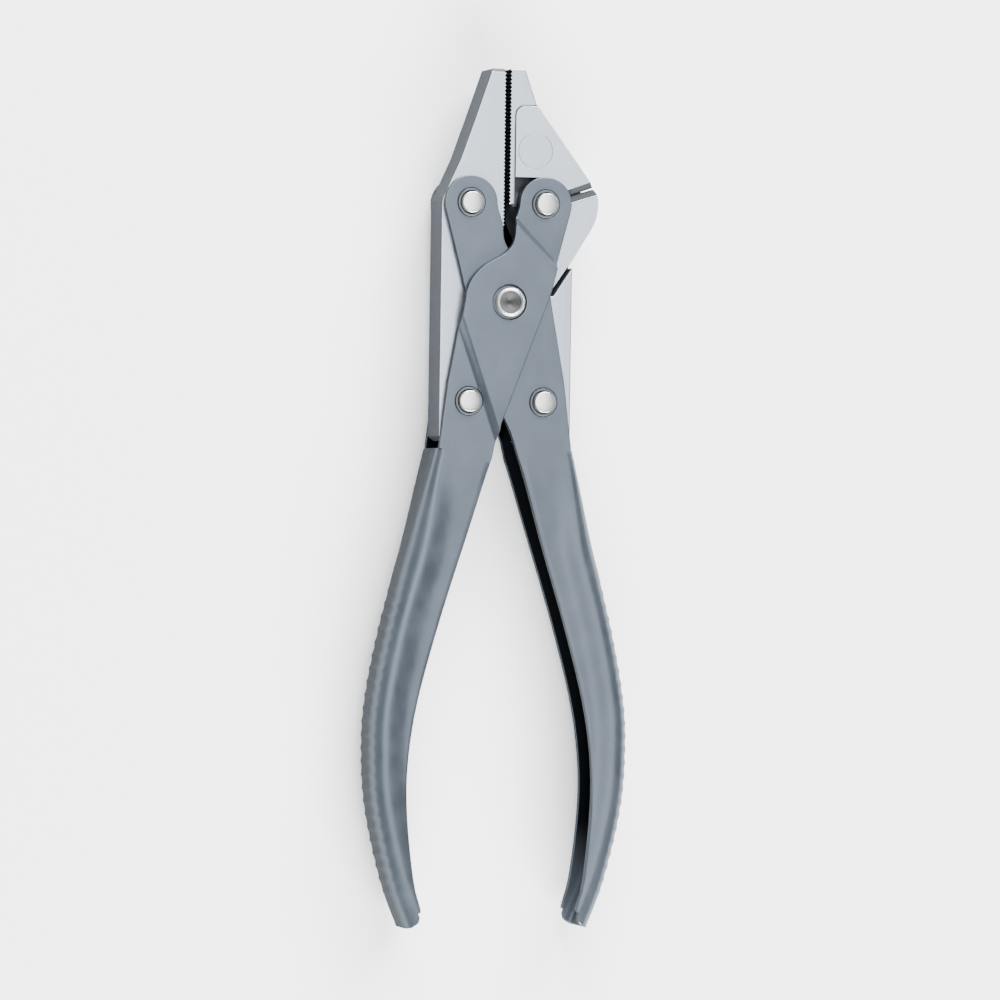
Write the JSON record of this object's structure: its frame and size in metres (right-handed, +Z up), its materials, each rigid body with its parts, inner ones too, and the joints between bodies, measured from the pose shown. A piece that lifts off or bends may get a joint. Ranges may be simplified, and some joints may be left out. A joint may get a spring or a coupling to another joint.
{
  "type": "parallel-action flat-nose pliers",
  "caption": "Parallel-action flat-nose pliers: serrated jaws on crossed folded-sheet handles, open wire throat and a side wire cutter.",
  "frame": {"origin": "centre of the footprint at the height of the surface the tool lies on", "axes": "+Y along the tool towards the jaw tips, +X across to the cutter's side, +Z up, parallel to the pivots"},
  "size_m": [0.0562, 0.18, 0.0182],
  "materials": {
    "handle_steel": "satin bead-blasted sheet, faintly blue grey",
    "jaw_steel": "ground, fine grain along the tool",
    "blade_steel": "fine ground",
    "rivet_steel": "polished pin faces",
    "collar_steel": "dull turned rings"
  },
  "bodies": {
    "left_handle": {"left_handle": "handle_steel", "right_jaw_rivet": "rivet_steel", "right_jaw_collar_upper_face": "collar_steel", "right_jaw_collar_under_face": "collar_steel", "left_slot_rivet": "rivet_steel", "left_slot_collar_upper_face": "collar_steel", "left_slot_collar_under_face": "collar_steel", "front_pivot_rivet": "rivet_steel", "front_pivot_bushing": "collar_steel", "moving_cutter_blade": "blade_steel", "cutter_dowel": "rivet_steel"},
    "right_handle": {"right_handle": "handle_steel", "left_jaw_rivet": "rivet_steel", "left_jaw_collar_upper_face": "collar_steel", "left_jaw_collar_under_face": "collar_steel", "right_slot_rivet": "rivet_steel", "right_slot_collar_upper_face": "collar_steel", "right_slot_collar_under_face": "collar_steel", "rear_pivot_rivet": "rivet_steel", "rear_pivot_bushing": "collar_steel"},
    "right_jaw": {"right_jaw": "jaw_steel", "fixed_cutter_blade": "blade_steel", "cutter_blade_rivet": "jaw_steel"},
    "left_jaw": {"left_jaw": "jaw_steel"}
  },
  "joints": [
    {"name": "handles_open", "type": "hinge", "parent": "left_handle", "child": "right_handle", "pos_m": [0, 0.041, 0.0091], "axis": [0, 0, 1], "range_deg": [-2.5, 31]},
    {"name": "right_jaw_swing", "type": "hinge", "parent": "left_handle", "child": "right_jaw", "pos_m": [0.0081, 0.06175, 0.0091], "axis": [0, 0, 1], "range_deg": [-1.25, 15.5]},
    {"name": "left_jaw_swing", "type": "hinge", "parent": "right_handle", "child": "left_jaw", "pos_m": [-0.0081, 0.06175, 0.0091], "axis": [0, 0, 1], "range_deg": [-15.5, 1.25]}
  ],
  "couplings": [
    {"joint": "right_jaw_swing", "follows": "handles_open", "ratio": 0.5},
    {"joint": "left_jaw_swing", "follows": "handles_open", "ratio": -0.5}
  ]
}
